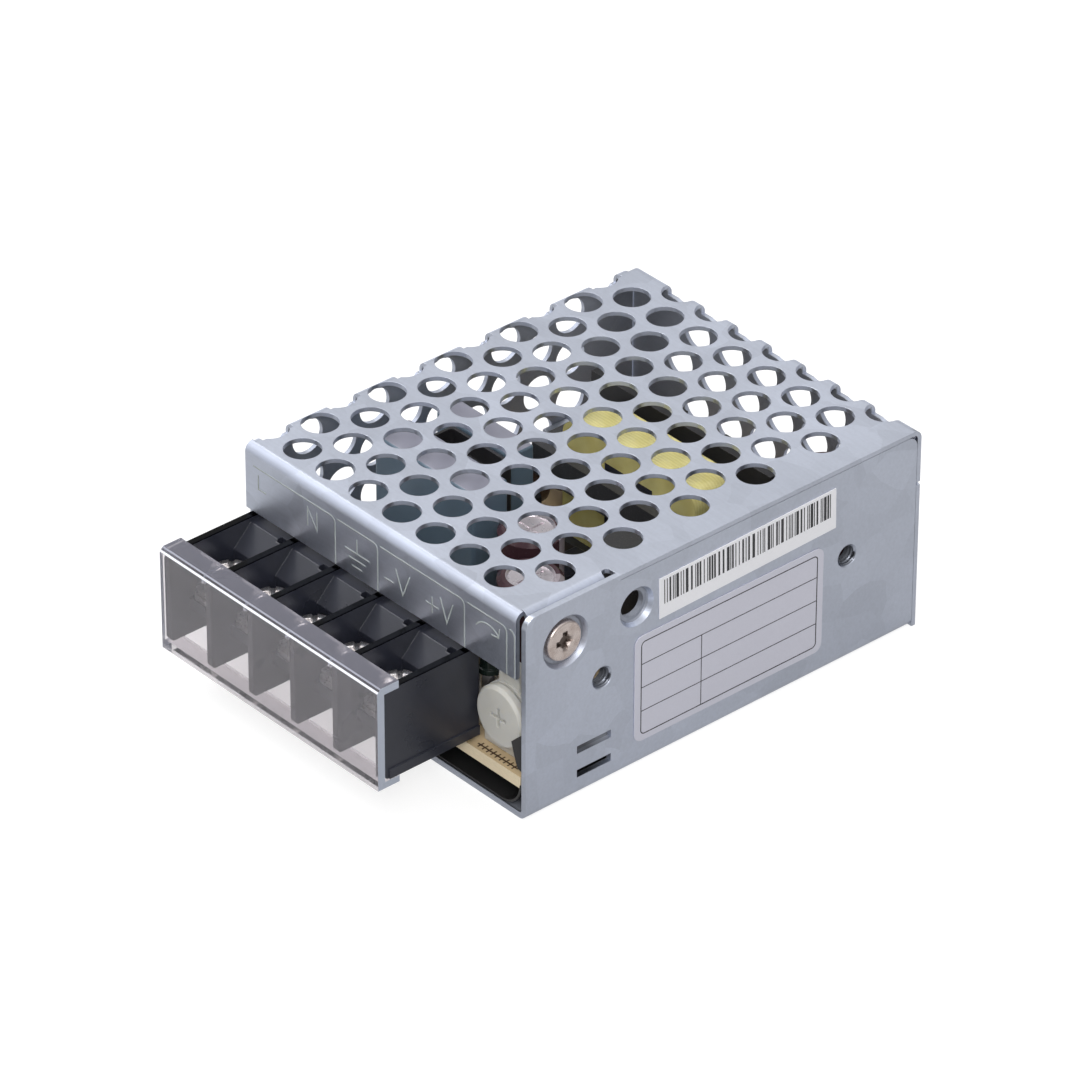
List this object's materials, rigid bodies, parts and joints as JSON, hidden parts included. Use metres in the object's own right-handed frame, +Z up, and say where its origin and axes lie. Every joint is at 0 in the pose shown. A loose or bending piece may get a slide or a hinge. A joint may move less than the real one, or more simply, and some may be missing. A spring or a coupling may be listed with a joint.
{
  "type": "enclosed switching power supply",
  "caption": "Small switching power supply in a folded steel case with a perforated cover, a screw terminal strip under a clear guard and an output adjuster.",
  "frame": {"origin": "centre of the underside of the case, between its front and rear edges", "axes": "+Z up, -Y towards the screw terminals, +X towards the plate that carries the labels"},
  "size_m": [0.0519, 0.0762, 0.028],
  "materials": {
    "galvanised_sheet": "satin",
    "nickel_screw": "polished",
    "tinned_steel": "satin",
    "black_plastic": "matte",
    "clear_plastic": "gloss",
    "board_laminate": "matte",
    "cream_plastic": "satin",
    "liner_film": "satin",
    "grey_box": "satin",
    "plum_sleeve": "gloss",
    "ferrite": "matte",
    "yellow_tape": "gloss",
    "black_anodised": "satin",
    "blue_coating": "gloss",
    "label_film": "satin"
  },
  "bodies": {
    "housing": {"chassis": "galvanised_sheet", "mesh_cover": "galvanised_sheet", "case_screws": "nickel_screw", "insulation_sheet": "liner_film", "circuit_board": "board_laminate", "board_screws": "nickel_screw", "terminal_block": "black_plastic", "terminal_tabs": "tinned_steel", "trimmer_body": "cream_plastic", "x2_capacitor": "grey_box", "line_choke": "black_plastic", "film_capacitor": "grey_box", "bulk_capacitor": "plum_sleeve", "transformer_core": "ferrite", "transformer_bobbin": "black_plastic", "transformer_winding": "yellow_tape", "heatsink": "black_anodised", "power_transistor": "black_plastic", "rectifier_bridge": "black_plastic", "board_fuse": "black_plastic", "thermistor": "black_plastic", "y_capacitors": "blue_coating", "optocoupler": "black_plastic", "output_inductor": "ferrite", "output_diode": "black_plastic", "rating_label": "label_film", "barcode_label": "label_film", "output_capacitor_1": "plum_sleeve", "output_capacitor_2": "plum_sleeve"},
    "clear_cover": {"terminal_cover": "clear_plastic"},
    "adjuster": {"trimmer_rotor": "cream_plastic"},
    "washer_1": {"terminal_washer_1": "tinned_steel"},
    "screw_1": {"terminal_screw_1": "nickel_screw"},
    "washer_2": {"terminal_washer_2": "tinned_steel"},
    "screw_2": {"terminal_screw_2": "nickel_screw"},
    "washer_3": {"terminal_washer_3": "tinned_steel"},
    "screw_3": {"terminal_screw_3": "nickel_screw"},
    "washer_4": {"terminal_washer_4": "tinned_steel"},
    "screw_4": {"terminal_screw_4": "nickel_screw"},
    "washer_5": {"terminal_washer_5": "tinned_steel"},
    "screw_5": {"terminal_screw_5": "nickel_screw"}
  },
  "joints": [
    {"name": "cover_slide", "type": "slide", "parent": "housing", "child": "clear_cover", "axis": [0, -1, 0], "range_m": [0, 0.008]},
    {"name": "adjuster_turn", "type": "hinge", "parent": "housing", "child": "adjuster", "pos_m": [0.0194, -0.0302, 0.011], "axis": [0, -1, 0], "range_deg": [-120, 120]},
    {"name": "terminal_lift_1", "type": "slide", "parent": "housing", "child": "washer_1", "axis": [0, 0, 1], "range_m": [0, 0.0025]},
    {"name": "terminal_turn_1", "type": "hinge", "parent": "washer_1", "child": "screw_1", "pos_m": [-0.02, -0.0378, 0.0144], "axis": [0, 0, 1], "range_deg": [0, 1800]},
    {"name": "terminal_lift_2", "type": "slide", "parent": "housing", "child": "washer_2", "axis": [0, 0, 1], "range_m": [0, 0.0025]},
    {"name": "terminal_turn_2", "type": "hinge", "parent": "washer_2", "child": "screw_2", "pos_m": [-0.0123, -0.0378, 0.0144], "axis": [0, 0, 1], "range_deg": [0, 1800]},
    {"name": "terminal_lift_3", "type": "slide", "parent": "housing", "child": "washer_3", "axis": [0, 0, 1], "range_m": [0, 0.0025]},
    {"name": "terminal_turn_3", "type": "hinge", "parent": "washer_3", "child": "screw_3", "pos_m": [-0.0046, -0.0378, 0.0144], "axis": [0, 0, 1], "range_deg": [0, 1800]},
    {"name": "terminal_lift_4", "type": "slide", "parent": "housing", "child": "washer_4", "axis": [0, 0, 1], "range_m": [0, 0.0025]},
    {"name": "terminal_turn_4", "type": "hinge", "parent": "washer_4", "child": "screw_4", "pos_m": [0.0031, -0.0378, 0.0144], "axis": [0, 0, 1], "range_deg": [0, 1800]},
    {"name": "terminal_lift_5", "type": "slide", "parent": "housing", "child": "washer_5", "axis": [0, 0, 1], "range_m": [0, 0.0025]},
    {"name": "terminal_turn_5", "type": "hinge", "parent": "washer_5", "child": "screw_5", "pos_m": [0.0108, -0.0378, 0.0144], "axis": [0, 0, 1], "range_deg": [0, 1800]}
  ],
  "couplings": [
    {"joint": "terminal_turn_1", "follows": "terminal_lift_1", "rad_per_m": 12566},
    {"joint": "terminal_turn_2", "follows": "terminal_lift_2", "rad_per_m": 12566},
    {"joint": "terminal_turn_3", "follows": "terminal_lift_3", "rad_per_m": 12566},
    {"joint": "terminal_turn_4", "follows": "terminal_lift_4", "rad_per_m": 12566},
    {"joint": "terminal_turn_5", "follows": "terminal_lift_5", "rad_per_m": 12566}
  ]
}
